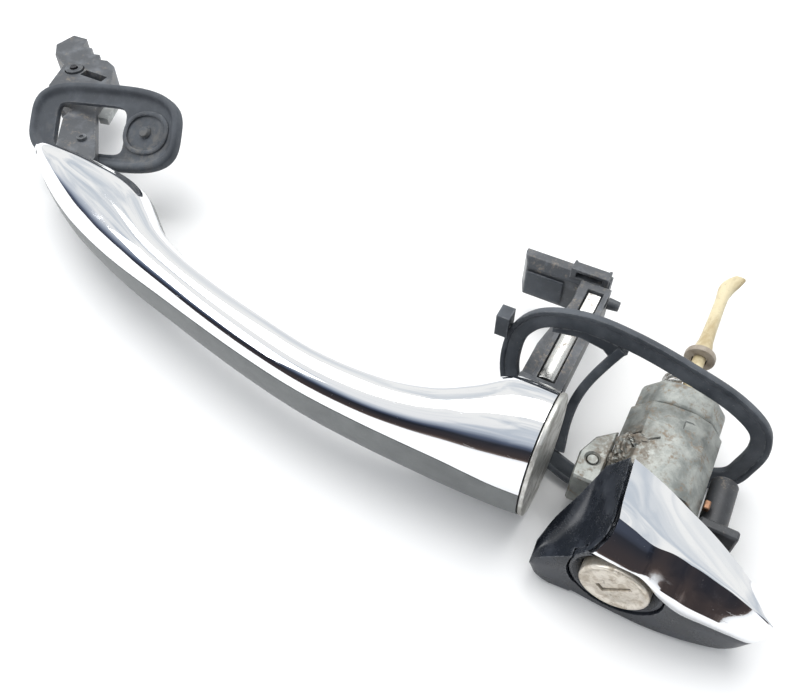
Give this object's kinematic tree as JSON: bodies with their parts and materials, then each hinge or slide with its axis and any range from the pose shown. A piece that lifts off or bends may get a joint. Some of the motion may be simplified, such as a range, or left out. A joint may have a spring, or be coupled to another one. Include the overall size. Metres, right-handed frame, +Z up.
{
  "type": "car door pull handle",
  "caption": "Exterior pull handle of a car door: chrome bow grip on hinge and hook arms with rubber gaskets, and a capped key lock with a turning tail rod.",
  "frame": {"origin": "centre of the set's footprint, on the plane it lies on", "axes": "+X along the handle from the hinge end to the lock end, +Y into the car, +Z up as it lies"},
  "size_m": [0.3486, 0.1358, 0.0473],
  "materials": {
    "chrome": "polished plating",
    "grip_grey": "satin grey moulding",
    "end_plate": "scuffed plate",
    "frame_black": "glass-filled black",
    "arm_black": "glass-filled black, worn and dusty",
    "wedge_pale": "pale worn plastic",
    "steel": "bright worn steel",
    "rubber": "matte slate rubber",
    "cap_black": "satin black moulding",
    "zinc": "die-cast, dull and stained",
    "copper": "coppery fixing",
    "nickel_face": "warm nickel, smudged",
    "plug_brass": "machined brass",
    "tail_beige": "beige nylon",
    "flange_brown": "brown-grey plastic"
  },
  "bodies": {
    "lock_unit": {"rear_gasket": "rubber", "rear_gasket_strap": "rubber", "rear_gasket_lug": "rubber", "cap_chrome": "chrome", "cap_base": "cap_black", "key_recess_ring": "cap_black", "cap_screw_1": "steel", "cap_screw_2": "steel", "lock_housing": "zinc", "housing_end_cover": "zinc", "housing_lug": "zinc", "housing_lug_screw": "zinc", "lock_sleeve": "steel", "clamp_post": "frame_black", "clamp_post_plate": "frame_black", "clamp_screw": "copper", "clamp_clip": "copper", "return_spring": "steel"},
    "grip": {"grip_chrome_shell": "chrome", "grip_lower_shell": "grip_grey", "grip_core": "frame_black", "grip_end_plate": "end_plate", "hinge_arm": "arm_black", "hinge_arm_bush": "arm_black", "hinge_arm_pin": "steel", "hinge_arm_wedge": "wedge_pale", "hinge_arm_screw": "arm_black", "hook_arm": "arm_black", "hook_arm_insert": "steel", "hook_arm_window": "steel", "hook_head": "arm_black", "hook_head_pad": "rubber", "hook_side_peg": "arm_black", "hook_arm_screw": "steel", "front_gasket": "rubber", "front_gasket_bead": "rubber", "front_gasket_stud": "rubber"},
    "rotor": {"plug_face": "nickel_face", "lock_plug": "plug_brass", "wafer_1": "plug_brass", "wafer_2": "plug_brass", "wafer_3": "plug_brass", "shutter_pin": "steel", "tail_neck": "flange_brown", "tail_circlip": "steel", "tail_flange": "flange_brown", "tail_rod": "tail_beige"},
    "shutter": {"dust_shutter": "nickel_face"}
  },
  "joints": [
    {"name": "grip_swing", "type": "hinge", "parent": "lock_unit", "child": "grip", "pos_m": [-0.1523, 0.04545, 0.021], "axis": [0, 0, -1], "range_deg": [0, 5]},
    {"name": "lock_turn", "type": "hinge", "parent": "lock_unit", "child": "rotor", "pos_m": [0.1341, -0.06795, 0.016], "axis": [0, 1, 0], "range_deg": [-70, 70], "stiffness_Nm_per_rad": 0.02},
    {"name": "shutter_open", "type": "hinge", "parent": "rotor", "child": "shutter", "pos_m": [0.13269, -0.0659, 0.01741], "axis": [0.7071, 0, 0.7071], "range_deg": [0, 55], "stiffness_Nm_per_rad": 0.0005}
  ]
}
